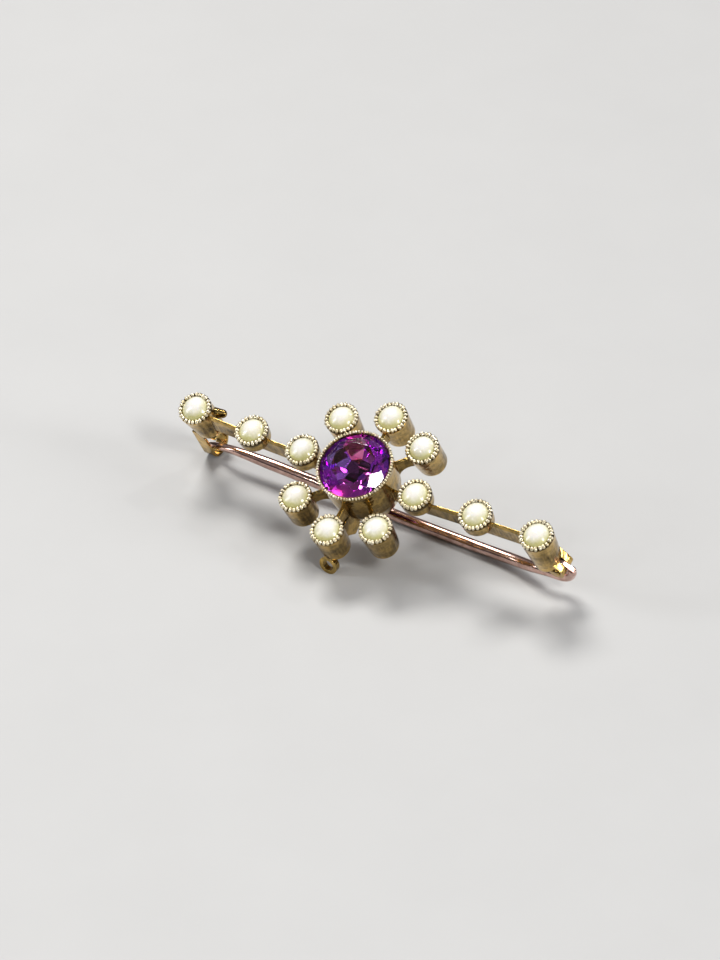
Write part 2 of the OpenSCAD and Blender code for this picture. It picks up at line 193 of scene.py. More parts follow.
# The pin's stations: x, y, height above the table and radius. Its tongue runs up to the third. Then the steps
# between two stations, the sides round it and the angle past which an edge stays sharp
PIN_STATIONS = (
    (21.75, 0.5, 3.91, 0.37), (21.65, 0.5, 3.39, 0.4), (21.4, 0.5, 2.9, 0.44), (21.06, 0.49, 2.4, 0.48),
    (20.55, 0.47, 2.02, 0.52), (19.9, 0.42, 1.9, 0.53), (18.9, 0.34, 1.98, 0.53), (17.7, 0.3, 1.86, 0.55),
    (16.4, 0.39, 1.45, 0.57), (15, 0.55, 1.1, 0.58), (13, 0.65, 0.83, 0.58), (10.4, 0.67, 0.66, 0.58),
    (7, 0.68, 0.58, 0.58), (3.4, 0.64, 0.67, 0.58), (-0.4, 0.57, 0.95, 0.58), (-4.4, 0.5, 1.36, 0.58),
    (-8.4, 0.42, 1.8, 0.58), (-12, 0.36, 2.04, 0.58), (-14.5, 0.34, 2.1, 0.52), (-16.6, 0.34, 2.04, 0.44),
    (-18.1, 0.38, 1.74, 0.4), (-19.4, 0.44, 1.32, 0.33), (-20.6, 0.52, 1, 0.06),
)
TONGUE_STATION = 2
PIN_STEPS = 6
PIN_SIDES = 28
PIN_SHARP = math.radians(40)

# Shaded tones of the golds, and the dark tone of their patina and painted shade
YELLOW_SHADOW = (0.34, 0.24, 0.08)
YELLOW_PATINA_AND_SHADE = (0.055, 0.034, 0.010)
RIM_SHADOW = (0.92, 0.80, 0.50)
RIM_PATINA_AND_SHADE = (0.10, 0.055, 0.015)
ROSE_SHADOW = (0.55, 0.34, 0.28)
ROSE_PATINA_AND_SHADE = (0.22, 0.10, 0.07)

# The studio: the floor's half width, the sky's tones by height, what the lamps and the camera face, and the
# lamps as name, place, width and height, watts and colour
FLOOR_REACH = 3
SKY = (
    (0.0, (0.03, 0.03, 0.03)),
    (0.25, (0.06, 0.06, 0.065)),
    (0.6, (0.30, 0.30, 0.32)),
    (0.85, (0.12, 0.12, 0.13)),
)
LAMPS_FACE = Vector((0, 0, 0.006))
LAMPS = (
    ("key", (-0.24, 0.14, 0.42), (0.22, 0.14), 1.9, (1.0, 0.98, 0.95)),
    ("window", (0.321, -0.138, 0.364), (0.08, 0.11), 0.95, (1.0, 0.99, 0.97)),
    ("side", (-0.36, -0.22, 0.20), (0.05, 0.26), 0.55, (0.95, 0.97, 1.0)),
    ("right", (0.405, 0.085, 0.165), (0.08, 0.22), 0.7, (1.0, 1.0, 1.0)),
    ("spark", (0.10, 0.30, 0.40), (0.02, 0.02), 0.16, (1.0, 1.0, 1.0)),
    ("glint", (-0.10, -0.38, 0.34), (0.02, 0.02), 0.14, (1.0, 1.0, 1.0)),
)
CAMERA_FACES = Vector((-0.000535, -0.001027, 0.007877))


class BroochSettings(bpy.types.PropertyGroup):
    """Sizes and colours of the jewel."""

    bead_size: FloatProperty(
        name="Rim bead", description="Diameter of a bead on a pearl's rim", default=0.00043, unit="LENGTH")
    bead_count: IntProperty(
        name="Beads on a pearl's rim", description="How many beads go round one pearl", default=24, min=8)
    stone_bead_size: FloatProperty(
        name="Stone rim bead", description="Diameter of a bead on the amethyst's rim", default=0.00028,
        unit="LENGTH")
    stone_bead_count: IntProperty(
        name="Beads on the stone's rim", description="How many beads go round the amethyst", default=80,
        min=16)
    pearl_size: FloatProperty(
        name="Pearl", description="Diameter of a half pearl", default=0.00255, unit="LENGTH")
    pearl_proud: FloatProperty(
        name="Pearl height", description="How far a pearl's dome stands above its rim", default=0.0005,
        unit="LENGTH")
    stone_size: FloatProperty(
        name="Amethyst", description="Diameter of the amethyst", default=0.007, unit="LENGTH")
    table_share: FloatProperty(
        name="Table", description="Width of the stone's table as a share of its diameter", default=0.64,
        min=0.4, max=0.7, subtype="FACTOR")
    yellow_gold: FloatVectorProperty(
        name="Yellow gold", description="Colour of the frame", default=(0.76, 0.50, 0.15), size=3,
        subtype="COLOR")
    # The rims' gold is rubbed bright, and paler than the frame's as a painted highlight
    lit_rim_gold: FloatVectorProperty(
        name="Rim gold", description="Colour of the beaded rims, which are rubbed bright",
        default=(1.0, 0.92, 0.72), size=3, subtype="COLOR")
    rose_gold: FloatVectorProperty(
        name="Rose gold", description="Colour of the pin", default=(0.77, 0.53, 0.45), size=3,
        subtype="COLOR")
    violet: FloatVectorProperty(
        name="Amethyst colour", description="Colour that the stone lets through", default=(0.90, 0.08, 0.93),
        size=3, subtype="COLOR")
    # Pearls are palest round a painted highlight, yellowing to the edge as painted shade and painted gold
    # reflection
    pearl_white: FloatVectorProperty(
        name="Pearl white", description="Colour of a pearl's crown", default=(0.90, 0.89, 0.85), size=3,
        subtype="COLOR")
    pearl_shaded_edge: FloatVectorProperty(
        name="Pearl edge", description="Colour of a pearl towards its rim", default=(0.66, 0.62, 0.27),
        size=3, subtype="COLOR")


class StageSettings(bpy.types.PropertyGroup):
    """Camera and floor."""

    azimuth: FloatProperty(
        name="Azimuth", description="Camera's turn about Z, from -Y", default=math.radians(33.87),
        subtype="ANGLE")
    elevation: FloatProperty(
        name="Elevation", description="Camera's height angle", default=math.radians(38.17), subtype="ANGLE")
    roll: FloatProperty(
        name="Roll", description="Camera's turn about its own axis", default=math.radians(-1.42),
        subtype="ANGLE")
    distance: FloatProperty(
        name="Distance", description="Camera's distance from the jewel", default=0.4719, unit="LENGTH")
    lens: FloatProperty(
        name="Lens", description="Focal length in millimetres", default=187.69)
    floor_colour: FloatVectorProperty(
        name="Floor", description="Colour of the floor", default=(0.54, 0.54, 0.535), size=3,
        subtype="COLOR")


# Shared mesh steps

def turned(bm, profile, steps):
    """Spins a profile of (radius, height) points about Z into a closed skin, in an empty mesh."""
    points = [bm.verts.new((r, 0, z)) for r, z in profile]
    edges = [bm.edges.new(pair) for pair in zip(points, points[1:])]
    bmesh.ops.spin(bm, geom=points + edges, cent=(0, 0, 0), axis=(0, 0, 1), dvec=(0, 0, 0),
        angle=math.tau, steps=steps, use_merge=True)
    bmesh.ops.remove_doubles(bm, verts=bm.verts, dist=1e-5)


def arc(centre_z, radius, start, stop, count):
    """Points of an arc in a profile about a centre on the axis, between two angles in degrees."""
    angles = [math.radians(start + (stop - start) * i / count) for i in range(count + 1)]
    return [(max(0.0, radius * math.cos(a)), centre_z + radius * math.sin(a)) for a in angles]


def at_seat(name):
    """The place of a collet's rim in the face frame."""
    x, y, z, lean = SEATS[name]
    return Matrix.Translation((x, y, z)) @ Matrix.Rotation(math.radians(lean), 4, "X")


def make_piece(bm, name, material, body, smooth=True):
    """Lays a face-frame mesh in millimetres down on the table and hands it over as a piece."""
    bmesh.ops.recalc_face_normals(bm, faces=bm.faces)
    bmesh.ops.transform(bm, matrix=TO_TABLE, verts=bm.verts)
    for face in bm.faces:
        face.smooth = smooth
    mesh = bpy.data.meshes.new(name)
    bm.to_mesh(mesh)
    bm.free()
    mesh.materials.append(material)
    piece = bpy.data.objects.new(name, mesh)
    bpy.context.scene.collection.objects.link(piece)
    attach(piece, body)
    return piece


# Materials

def new_material(name):
    """An empty node material and its tree."""
    material = bpy.data.materials.new(name)
    material.use_nodes = True
    material.node_tree.nodes.clear()
    return material, material.node_tree


def node(tree, kind, inputs=None, **settings):
    """Adds a node, sets its properties and fills its sockets with values or links."""
    made = tree.nodes.new(kind)
    for key, value in settings.items():
        setattr(made, key, value)
    for socket, value in (inputs or {}).items():
        if isinstance(value, bpy.types.NodeSocket):
            tree.links.new(value, made.inputs[socket])
        else:
            made.inputs[socket].default_value = value
    return made


def object_place(tree):
    """Object coordinates, which are the table's, in metres."""
    return node(tree, "ShaderNodeTexCoord").outputs["Object"]


def face_place(tree):
    """Object coordinates turned into the face frame, in metres: X along the bar, Z out of the face."""
    middle, turn, _ = TO_FACE.decompose()
    sockets = {"Vector": object_place(tree), "Location": middle * MM, "Rotation": turn.to_euler()}
    return node(tree, "ShaderNodeMapping", sockets).outputs["Vector"]


def noise(tree, vector, scale, detail=2.0, roughness=0.5):
    """Cloudy noise between 0 and 1."""
    sockets = {"Vector": vector, "Scale": scale, "Detail": detail, "Roughness": roughness}
    return node(tree, "ShaderNodeTexNoise", sockets).outputs["Fac"]


def share(tree, value, low, high, low_out=0.0, high_out=1.0):
    """Maps a value from one range to another, held at its ends."""
    sockets = {"Value": value, "From Min": low, "From Max": high, "To Min": low_out, "To Max": high_out}
    return node(tree, "ShaderNodeMapRange", sockets).outputs["Result"]


def sums(tree, operation, *values):
    """One step of arithmetic on values or sockets."""
    return node(tree, "ShaderNodeMath", dict(enumerate(values)), operation=operation).outputs["Value"]


def vectors(tree, operation, output, *values):
    """One step of vector arithmetic on vectors or sockets."""
    return node(tree, "ShaderNodeVectorMath", dict(enumerate(values)), operation=operation).outputs[output]


def ramp(tree, factor, stops):
    """A colour ramp over factor, with its stops as (position, colour)."""
    made = node(tree, "ShaderNodeValToRGB", {"Fac": factor})
    while len(made.color_ramp.elements) < len(stops):
        made.color_ramp.elements.new(0.5)
    for element, (position, colour) in zip(made.color_ramp.elements, stops):
        element.position = position
        element.color = (*colour, 1)
    return made.outputs["Color"]


def mixed(tree, factor, first, second):
    """A colour between two colours or sockets."""
    first, second = (c if isinstance(c, bpy.types.NodeSocket) else (*c, 1) for c in (first, second))
    # In a colour mix the two colours are inputs 6 and 7, and the result is output 2
    return node(tree, "ShaderNodeMix", {"Factor": factor, 6: first, 7: second}, data_type="RGBA").outputs[2]


def bumped(tree, height, strength, distance, normal=None):
    """The surface's normal, or the one given, dented by a height."""
    sockets = {"Height": height, "Strength": strength, "Distance": distance}
    if normal is not None:
        sockets["Normal"] = normal
    return node(tree, "ShaderNodeBump", sockets).outputs["Normal"]


def finish_surface(tree, sockets):
    """Ends a material in the surface shader with the given sockets."""
    shader = node(tree, "ShaderNodeBsdfPrincipled", sockets)
    return node(tree, "ShaderNodeOutputMaterial", {"Surface": shader.outputs["BSDF"]})


def worn_gold(name, colour, shadow, patina_and_shade_tone, roughness, grain=(1, 1, 0.1), dent=1.0, patina_and_shade_share=1.0, nook=0.0011,
        gap_shade=0.9):
    """Worn precious metal: drawn scratches, hand-worked dents, rubbed bright edges, patina in patches, and
    painted shade in the corners, down the walls and between the beads.

    grain stretches the scratches in the face frame: a small value draws them out along that axis. dent is the
    strength of the dents and patina_and_shade_share that of the patina and painted shade, nook the width of
    the corners that take painted shade, and gap_shade how dark the rims are painted between their beads."""
    material, tree = new_material(name)
    place = face_place(tree)
    along = node(tree, "ShaderNodeMapping", {"Vector": place, "Scale": grain}).outputs["Vector"]
    dents = noise(tree, place, scale=640)
    hammer = noise(tree, place, scale=2300)
    streaks = noise(tree, along, scale=4300, detail=3.0, roughness=0.6)
    scratches = noise(tree, along, scale=12000, detail=3.0, roughness=0.65)
    clouds = noise(tree, place, scale=420, detail=4.0, roughness=0.6)
    spots = noise(tree, place, scale=1500, detail=3.0, roughness=0.7)

    # Edges are rubbed bright where a rounded normal turns away from the flat one
    rounded = node(tree, "ShaderNodeBevel", {"Radius": 0.00009}, samples=6).outputs["Normal"]
    flat = node(tree, "ShaderNodeNewGeometry").outputs["Normal"]
    rubbed = share(tree, vectors(tree, "DOT_PRODUCT", "Value", rounded, flat), low=0.985, high=0.86)

    # Painted shade in the corners and down the walls except at their foot, and patina in patches
    nooks = node(tree, "ShaderNodeAmbientOcclusion", {"Distance": nook}, samples=8).outputs["AO"]
    painted_corner_shade = share(tree, nooks, low=0.9, high=0.35)
    patches = share(tree, clouds, low=0.44, high=0.66, high_out=0.45)
    depth = node(tree, "ShaderNodeSeparateXYZ", {"Vector": place}).outputs["Z"]
    # The walls grow darker downwards as painted shade, which stops short of their foot
    down = share(tree, depth, low=-0.0003, high=-0.0020, high_out=0.55)
    painted_wall_shade = sums(tree, "MULTIPLY", down, share(tree, depth, low=-0.0038, high=-0.0030))
    dirt_and_shade = sums(tree, "MAXIMUM", painted_corner_shade, sums(tree, "ADD", patches, painted_wall_shade))
    dirt_and_shade = sums(tree, "MULTIPLY", dirt_and_shade, share(tree, streaks, low=0.32, high=0.6, low_out=0.45))
    # Rubbed edges lose both the patina and the painted shade
    dirt_and_shade = sums(tree, "MULTIPLY", dirt_and_shade, share(tree, rubbed, low=0.0, high=1.0, low_out=patina_and_shade_share, high_out=0.0))

    # The pearls' rims, which lie outside the amethyst's collet, and the amethyst's rim, which stands higher
    outward = vectors(tree, "LENGTH", "Value", vectors(tree, "MULTIPLY", "Vector", place, (1, 1, 0)))
    pearl_rims = sums(tree, "MULTIPLY", share(tree, depth, low=-0.00034, high=-0.00020),
        share(tree, outward, low=0.0042, high=0.0044))
    rims = sums(tree, "MAXIMUM", pearl_rims, share(tree, depth, low=0.00118, high=0.00126))
    # Between the beads the rims are darkened as painted shade
    dirt_and_shade = sums(tree, "MAXIMUM", dirt_and_shade, sums(tree, "MULTIPLY", rims, gap_shade))

    tone = mixed(tree, share(tree, spots, low=0.4, high=0.65), colour, shadow)
    # The dark tone lays on both the patina and the painted shade
    skin = mixed(tree, dirt_and_shade, tone, patina_and_shade_tone)
    marks = share(tree, scratches, low=0.3, high=0.75, low_out=roughness * 0.6, high_out=roughness * 1.6)
    dull = sums(tree, "MULTIPLY_ADD", dirt_and_shade, 0.12, marks)
    bump = bumped(tree, dents, strength=0.6 * dent, distance=0.00014, normal=rounded)
    bump = bumped(tree, hammer, strength=0.35 * dent, distance=0.00004, normal=bump)
    bump = bumped(tree, streaks, strength=0.5, distance=0.000014, normal=bump)
    finish_surface(tree, {"Base Color": skin, "Roughness": dull, "Normal": bump, "Metallic": 1.0})
    return material


def pearl_skin(name, crown, white, edge, seed):
    """Soft nacre: cream round a painted highlight at the crown, yellower towards the rim as painted shade and
    a painted reflection of the gold, with cloudy patches and a glassy coat.
    """
    material, tree = new_material(name)
    sockets = {"Vector": object_place(tree), "Location": [-c for c in crown]}
    own = node(tree, "ShaderNodeMapping", sockets).outputs["Vector"]
    away = vectors(tree, "LENGTH", "Value", own)
    sockets = {"Vector": own, "W": seed, "Scale": 900, "Detail": 3.0}
    cloud = node(tree, "ShaderNodeTexNoise", sockets, noise_dimensions="4D").outputs["Fac"]
    sway = sums(tree, "MULTIPLY_ADD", sums(tree, "SUBTRACT", cloud, 0.5), 0.0007, away)
    halfway = [0.5 * w + 0.5 * e for w, e in zip(white, edge)]
    # Palest at the painted highlight, yellowing outwards as painted shade and a painted reflection of the
    # gold
    outward = share(tree, sway, low=0.0006, high=0.0013)
    tone = ramp(tree, outward, [(0.0, white), (0.55, halfway), (1.0, edge)])
    fine = noise(tree, own, scale=5200, detail=4.0, roughness=0.6)
    bump = bumped(tree, cloud, strength=0.35, distance=0.00006)
    bump = bumped(tree, fine, strength=0.2, distance=0.00002, normal=bump)
    rough = share(tree, fine, low=0.3, high=0.7, low_out=0.16, high_out=0.4)
    finish_surface(tree, {"Base Color": tone, "Roughness": rough, "Normal": bump, "Subsurface Weight": 0.15,
        "Subsurface Scale": 0.0004, "Subsurface Radius": (1.0, 0.8, 0.5), "Coat Weight": 0.7,
        "Coat Roughness": 0.1, "IOR": 1.53, "Sheen Weight": 0.05})
    return material


def amethyst_skin(name, violet):
    """Cut quartz: a violet body in clear facets. The facet_tint of a back facet holds its colour and, as its
    alpha, how much of a mirror it is."""
    material, tree = new_material(name)
    # facet_tint carries painted colour flashes on the back facets and painted shade at the heart
    facets = node(tree, "ShaderNodeAttribute", attribute_name="facet_tint").outputs
    wear = noise(tree, object_place(tree), scale=5000, detail=3.0, roughness=0.6)
    rough = share(tree, wear, low=0.45, high=0.8, high_out=0.06)
    soft = sums(tree, "GREATER_THAN", facets["Alpha"], SOFT_FROM)
    rough = sums(tree, "MULTIPLY_ADD", soft, SOFT_BLUR, rough)
    output = finish_surface(tree, {"Base Color": facets["Color"], "Metallic": facets["Alpha"],
        "Roughness": rough, "Transmission Weight": 1.0, "IOR": 1.55})
    body = node(tree, "ShaderNodeVolumeAbsorption", {"Color": (*violet, 1), "Density": 280.0})
    tree.links.new(body.outputs["Volume"], output.inputs["Volume"])
    return material


# Pieces

def add_beads(bm, place, count, rim_r, rim_z, size, rng):
    """A ring of slightly uneven beads round a rim."""
    for i in range(count):
        angle = math.tau * (i + rng.uniform(-BEAD_SHIFT, BEAD_SHIFT)) / count
        bead = bmesh.ops.create_icosphere(bm, subdivisions=2, radius=size / 2 * rng.uniform(*BEAD_SIZES))
        squash = Matrix.Diagonal(
            (rng.uniform(*BEAD_WIDTHS), rng.uniform(*BEAD_LENGTHS), rng.uniform(*BEAD_HEIGHTS), 1))
        out = Matrix.Translation((rim_r + rng.uniform(-BEAD_SPREAD, BEAD_SPREAD), 0, rim_z))
        spot = Matrix.Rotation(angle, 4, "Z") @ out
        bmesh.ops.transform(bm, matrix=place @ spot @ squash, verts=bead["verts"])


class BROOCH_OT_pearl_rims(bpy.types.Operator):
    """Sets a row of millegrain beads on the rim of every pearl's collet"""

    bl_idname = "brooch.pearl_rims"
    bl_label = "Pearl rims"

    def execute(self, context):
        size = context.scene.brooch
        rng = random.Random(7)
        bm = bmesh.new()
        for name in SEATS:
            place = at_seat(name) @ Matrix.Rotation(rng.uniform(0, 1), 4, "Z")
            add_beads(bm, place, size.bead_count, PEARL_BEADS_R, PEARL_BEADS_Z, size.bead_size / MM, rng)
        make_piece(bm, "pearl_rims_millegrain", bpy.data.materials["lit_rim_gold"], JEWEL)
        return {"FINISHED"}


class BROOCH_OT_stone_rim(bpy.types.Operator):
    """Sets a row of millegrain beads on the rim of the amethyst's collet"""

    bl_idname = "brooch.stone_rim"
    bl_label = "Stone rim"

    def execute(self, context):
        size = context.scene.brooch
        bm = bmesh.new()
        add_beads(bm, Matrix.Identity(4), size.stone_bead_count, STONE_BEADS_R, STONE_BEADS_Z,
            size.stone_bead_size / MM, random.Random(11))
        make_piece(bm, "stone_rim_millegrain", bpy.data.materials["lit_rim_gold"], JEWEL)
        return {"FINISHED"}


class BROOCH_OT_half_pearls(bpy.types.Operator):
    """Seats twelve half pearls, each with its own dome and colour"""

    bl_idname = "brooch.half_pearls"
    bl_label = "Half pearls"

    def execute(self, context):
        size = context.scene.brooch
        rng = random.Random(3)
        radius = size.pearl_size / MM / 2
        proud = size.pearl_proud / MM
        height = proud - DRUM_TOP
        dome = (radius * radius + height * height) / (2 * height)
        edge_angle = math.degrees(math.atan2(DRUM_TOP - proud + dome, radius))
        profile = [(0, PEARL_FOOT), (radius - PEARL_CHAMFER, PEARL_FOOT),
            (radius, PEARL_FOOT + PEARL_CHAMFER), (radius, DRUM_TOP)]
        profile += arc(proud - dome, dome, edge_angle, 90, DOME_STEPS)[1:]
        for number, name in enumerate(SEATS):
            bm = bmesh.new()
            turned(bm, profile, PEARL_SIDES)
            swell = Matrix.Diagonal(
                (rng.uniform(*PEARL_WIDTHS), rng.uniform(*PEARL_WIDTHS), rng.uniform(*PEARL_HEIGHTS), 1))
            place = at_seat(name) @ Matrix.Rotation(rng.uniform(0, 3), 4, "Z") @ swell
            bmesh.ops.transform(bm, matrix=place, verts=bm.verts)
            # The painted highlight sits up the face and to the left of the rim's centre
            crown = TO_TABLE @ at_seat(name) @ PEARL_LIT_CROWN
            warm = rng.uniform(*PEARL_WARMTHS)
            white = [w * (1 - warm * k) for w, k in zip(size.pearl_white, WARMING)]
            skin = pearl_skin(f"nacre_{number + 1}", crown, white, size.pearl_shaded_edge, number * 3.7)
            piece = make_piece(bm, f"half_{name}", skin, JEWEL)
            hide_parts(name)
        return {"FINISHED"}


def tilted(azimuth, tilt, up=1):
    """A facet's normal: its azimuth and its tilt away from the axis, in degrees."""
    a, t = math.radians(azimuth), math.radians(tilt)
    return Vector((math.cos(a) * math.sin(t), math.sin(a) * math.sin(t), up * math.cos(t)))


def facet(bm, normal, point):
    """Grinds everything beyond a plane away and closes the cut with one flat facet."""
    cut = bmesh.ops.bisect_plane(bm, geom=bm.verts[:] + bm.edges[:] + bm.faces[:], dist=1e-5,
        plane_co=point, plane_no=normal, clear_outer=True)
    edges = [e for e in cut["geom_cut"] if isinstance(e, bmesh.types.BMEdge)]
    if edges:
        bmesh.ops.contextual_create(bm, geom=edges)


def grind(bm, radius, table_share):
    """Cuts a stone from a round blank, facet by facet."""
    crown = CROWN_SHARE * 2 * radius
    depth = BACK_SHARE * 2 * radius
    table_r = table_share * radius
    top = GIRDLE_TOP + crown
    bottom = GIRDLE_BOTTOM - depth
    bmesh.ops.create_cone(bm, cap_ends=True, segments=BLANK_SIDES, radius1=radius, radius2=radius,
        depth=top - bottom, matrix=Matrix.Translation((0, 0, (top + bottom) / 2)))
    main_tilt = math.degrees(math.atan2(crown, radius - table_r))
    back_tilt = math.degrees(math.atan2(depth, radius * BACK_FALL))
    # Main facets of the crown and the back
    for i in range(8):
        a = MAIN_STEP * i + STONE_TURN
        facet(bm, tilted(a, main_tilt), (*around(radius, a), GIRDLE_TOP))
        facet(bm, tilted(a, back_tilt, -1), (*around(radius, a), GIRDLE_BOTTOM))
    # Half facets on both sides of the girdle, and a steeper tier between those of the back
    for i in range(16):
        a = HALF_STEP * i + QUARTER_STEP + STONE_TURN
        rim = around(radius * math.cos(math.radians(QUARTER_STEP)), a)
        facet(bm, tilted(a, main_tilt + UPPER_HALF_TILT), (*rim, GIRDLE_TOP + UPPER_HALF_Z))
        facet(bm, tilted(a, back_tilt + LOWER_HALF_TILT, -1), (*rim, GIRDLE_BOTTOM + LOWER_HALF_Z))
        a += QUARTER_STEP
        facet(bm, tilted(a, back_tilt + EDGE_TIER_TILT, -1), (*rim, GIRDLE_BOTTOM + EDGE_TIER_Z))
    # Star facets round the table
    for i in range(8):
        a = MAIN_STEP * i + HALF_STEP + STONE_TURN
        rim = around(table_r * math.cos(math.radians(HALF_STEP)), a)
        facet(bm, tilted(a, main_tilt + STAR_TILT), (*rim, top))
    # The square heart at the point of the back
    for i in range(4):
        facet(bm, tilted(90 * i + HEART_TURN, HEART_TILT, -1), (0, 0, bottom + HEART_CUT))
    bmesh.ops.bevel(bm, geom=bm.edges[:], offset=STONE_EDGE, segments=1, affect="EDGES", profile=0.5,
        material=-1)


def tint_facets(bm):
    """Gives every face its tint, and the back facets their share of mirror."""
    tint = bm.loops.layers.float_color.new("facet_tint")
    rng = random.Random(5)
    for face in bm.faces:
        turn = math.atan2(face.normal.y, face.normal.x) % math.tau / math.tau
        if face.normal.z > FRONT_FROM:
            shade = (*CLEAR_TINT, 0)
        elif face.normal.z < HEART_NORMAL_Z:
            # The heart is darkened as painted shade
            shade = (*HEART_SHADE_TINT, 0)
        else:
            # Back facets carry painted colour flashes, sector by sector
            sector = int(turn * len(BACK_FLASH_TINTS)) % len(BACK_FLASH_TINTS)
            glow, mirror = rng.uniform(*BACK_GLOWS), rng.uniform(*BACK_MIRRORS)
            if sector in SOFT_SECTORS:
                glow, mirror = 1.0, 1.0
            shade = (*(c * glow for c in BACK_FLASH_TINTS[sector]), mirror)
        for loop in face.loops:
            loop[tint] = shade


class BROOCH_OT_amethyst(bpy.types.Operator):
    """Cuts the amethyst in the round brilliant's manner, with a small square heart"""

    bl_idname = "brooch.amethyst"
    bl_label = "Amethyst"

    def execute(self, context):
        size = context.scene.brooch
        bm = bmesh.new()
        grind(bm, size.stone_size / MM / 2, size.table_share)
        tint_facets(bm)
        skin = amethyst_skin("cut_amethyst", size.violet)
        piece = make_piece(bm, "cut_amethyst", skin, JEWEL, smooth=False)
        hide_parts("amethyst")
        return {"FINISHED"}


def between(a, b, c, d, t):
    """A smooth value between b and c, on a curve through all four."""
    bend = (2 * a - 5 * b + 4 * c - d) * t * t
    return 0.5 * (2 * b + (c - a) * t + bend + (3 * b - a - 3 * c + d) * t * t * t)


def pin_line():
    """Points and radii along the pin, from its tongue to its point, in the face frame."""
    last = len(PIN_STATIONS) - 1
    line = []
    for i in range(last):
        four = [PIN_STATIONS[max(0, min(last, i + k))] for k in (-1, 0, 1, 2)]
        for step in range(PIN_STEPS):
            line.append([between(*values, step / PIN_STEPS) for values in zip(*four)])
    line.append(PIN_STATIONS[last])
    points = []
    for x, y, height, radius in line:
        z = (height - FACE_CENTRE.z - TABLE_UP.x * x - TABLE_UP.y * y) / TABLE_UP.z
        points.append((Vector((x, y, z)), radius))
    return points


def sweep(bm, line, sides):
    """A round rod of changing radius along a line, with both ends closed."""
    loops = []
    for i, (point, radius) in enumerate(line):
        heading = line[min(i + 1, len(line) - 1)][0] - line[max(i - 1, 0)][0]
        turn = heading.to_track_quat("Z", "Y").to_matrix().to_4x4()
        place = Matrix.Translation(point) @ turn
        ring = bmesh.ops.create_circle(bm, segments=sides, radius=radius, matrix=place)
        loops.append(list({e for v in ring["verts"] for e in v.link_edges}))
    for a, b in zip(loops, loops[1:]):
        bmesh.ops.bridge_loops(bm, edges=a + b)
    for edges in (loops[0], loops[-1]):
        bmesh.ops.contextual_create(bm, geom=edges)


def add_tongue(bm, line):
    """The flat tongue: a bored disc on the hinge, and a plate from it to the pin's first stations."""
    half = TONGUE_W / 2
    upright = Matrix.Rotation(math.radians(90), 4, "X")
    plate = bmesh.new()
    edge_r = KNUCKLE_R - TONGUE_EDGE
    edge_z = half - TONGUE_EDGE
    turned(plate, [(BORE_R, -half), (edge_r, -half), (KNUCKLE_R, -edge_z), (KNUCKLE_R, edge_z),
        (edge_r, half), (BORE_R, half), (BORE_R, -half)], KNUCKLE_SIDES)
    bmesh.ops.transform(plate, matrix=Matrix.Translation(HINGE) @ upright, verts=plate.verts)
    sides = (-half + PLATE_INSET, half - PLATE_INSET)
    reach = []
    for spot in (line[0][0], line[TONGUE_STATION * PIN_STEPS][0]):
        for side in sides:
            place = Matrix.Translation((spot.x, HINGE.y + side, spot.z)) @ upright
            ring = bmesh.ops.create_circle(plate, segments=16, radius=PLATE_END_R, matrix=place)
            reach += ring["verts"]
    for angle in PLATE_ANGLES:
        x, z = around(KNUCKLE_R - PLATE_INSET, angle)
        for side in sides:
            reach.append(plate.verts.new((HINGE.x + x, HINGE.y + side, HINGE.z + z)))
    bmesh.ops.convex_hull(plate, input=reach)
    bmesh.ops.delete(plate, geom=[v for v in plate.verts if not v.link_faces], context="VERTS")
    mesh = bpy.data.meshes.new("tongue")
    plate.to_mesh(mesh)
    plate.free()
    bm.from_mesh(mesh)
    bpy.data.meshes.remove(mesh)


class BROOCH_OT_pin(bpy.types.Operator):
    """Draws the bowed pin with its elbow and the flat tongue that turns between the ears"""

    bl_idname = "brooch.pin"
    bl_label = "Pin"

    def execute(self, context):
        size = context.scene.brooch
        skin = worn_gold("rose_gold_wire", size.rose_gold, ROSE_SHADOW, ROSE_PATINA_AND_SHADE, roughness=0.13,
            grain=(0.05, 1, 1), dent=0.3, patina_and_shade_share=0.45, gap_shade=0.0)
        bm = bmesh.new()
        line = pin_line()
        sweep(bm, line, PIN_SIDES)
        add_tongue(bm, line)
        piece = make_piece(bm, "bowed_pin", skin, PIN)
        piece.data.set_sharp_from_angle(angle=PIN_SHARP)
        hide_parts("pin")
        return {"FINISHED"}


class BROOCH_OT_gold(bpy.types.Operator):
    """Finishes the soldered frame and the hinge's rivet in worn yellow gold, and mixes the rims' gold, paler
    as a painted highlight
    """

    bl_idname = "brooch.gold"
    bl_label = "Gold"

    def execute(self, context):
        size = context.scene.brooch
        skin = worn_gold("yellow_gold", size.yellow_gold, YELLOW_SHADOW, YELLOW_PATINA_AND_SHADE, roughness=0.10)
        worn_gold("lit_rim_gold", size.lit_rim_gold, RIM_SHADOW, RIM_PATINA_AND_SHADE, roughness=0.3, dent=0.3, nook=0.0002,
            gap_shade=0.0)
        for name in ("frame", "hinge_rivet"):
            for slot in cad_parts[name].material_slots:
                slot.material = skin
        return {"FINISHED"}


# Studio

def add_floor(colour):
    """A plain pale floor with a faint grain."""
    material, tree = new_material("pale_floor")
    grain = noise(tree, object_place(tree), scale=60, detail=4.0, roughness=0.6)
    shade = ramp(tree, grain, [(0.3, [c * 0.97 for c in colour]), (0.7, colour)])
    finish_surface(tree, {"Base Color": shade, "Roughness": 0.55})
    bm = bmesh.new()
    bmesh.ops.create_grid(bm, x_segments=8, y_segments=8, size=FLOOR_REACH)
    mesh = bpy.data.meshes.new("floor")
    bm.to_mesh(mesh)
    bm.free()
    mesh.materials.append(material)
    floor = bpy.data.objects.new("floor", mesh)
    bpy.context.scene.collection.objects.link(floor)


